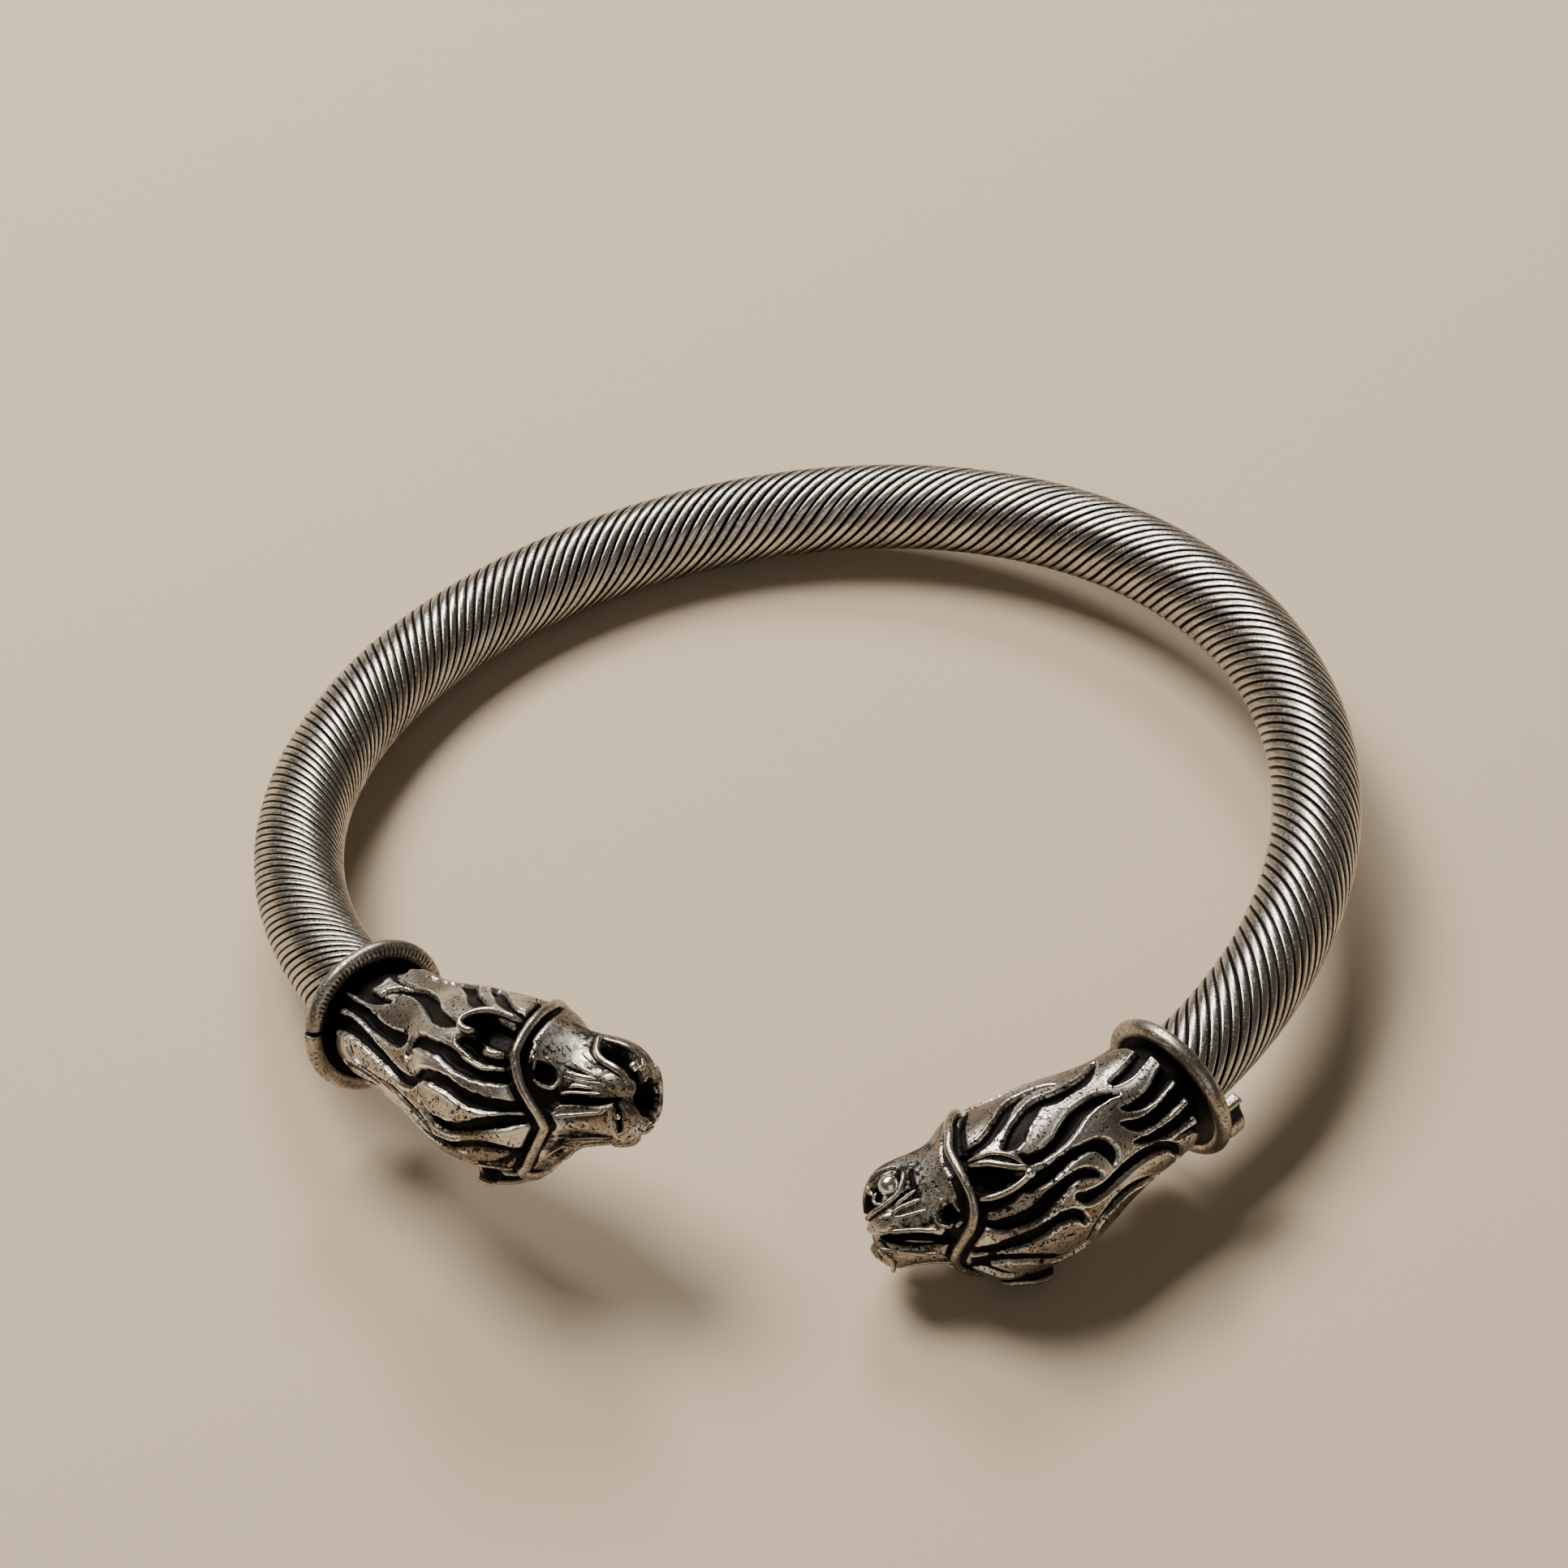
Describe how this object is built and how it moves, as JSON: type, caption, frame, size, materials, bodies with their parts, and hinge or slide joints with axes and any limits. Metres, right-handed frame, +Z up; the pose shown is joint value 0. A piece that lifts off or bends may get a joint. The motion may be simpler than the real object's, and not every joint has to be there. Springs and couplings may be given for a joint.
{
  "type": "kada bangle",
  "caption": "Open cuff bangle: a round rod with close spiral fluting, bent into a ring, with a cast lion-like head and a round collar at each end.",
  "frame": {"origin": "point on the ground under the middle of the bangle's outline, as it lies on its side", "axes": "+Z up through the wrist opening, -Y toward the gap between the heads, +X toward the right head; seen from above with the gap toward the viewer"},
  "size_m": [0.0748, 0.0748, 0.019],
  "materials": {
    "antiqued_rod": "white metal (nickel brass), blackened, polished on the lands between the flutes",
    "antiqued_collar": "white metal (nickel brass), rubbed bright over a blackened ground",
    "antiqued_cast": "cast white metal, fine pits, black in the recesses and rubbed bright on the raised locks"
  },
  "bodies": {
    "root": {"fluted_rod": "antiqued_rod", "collar_left": "antiqued_collar", "collar_right": "antiqued_collar", "head_left": "antiqued_cast", "head_right": "antiqued_cast"}
  },
  "joints": []
}
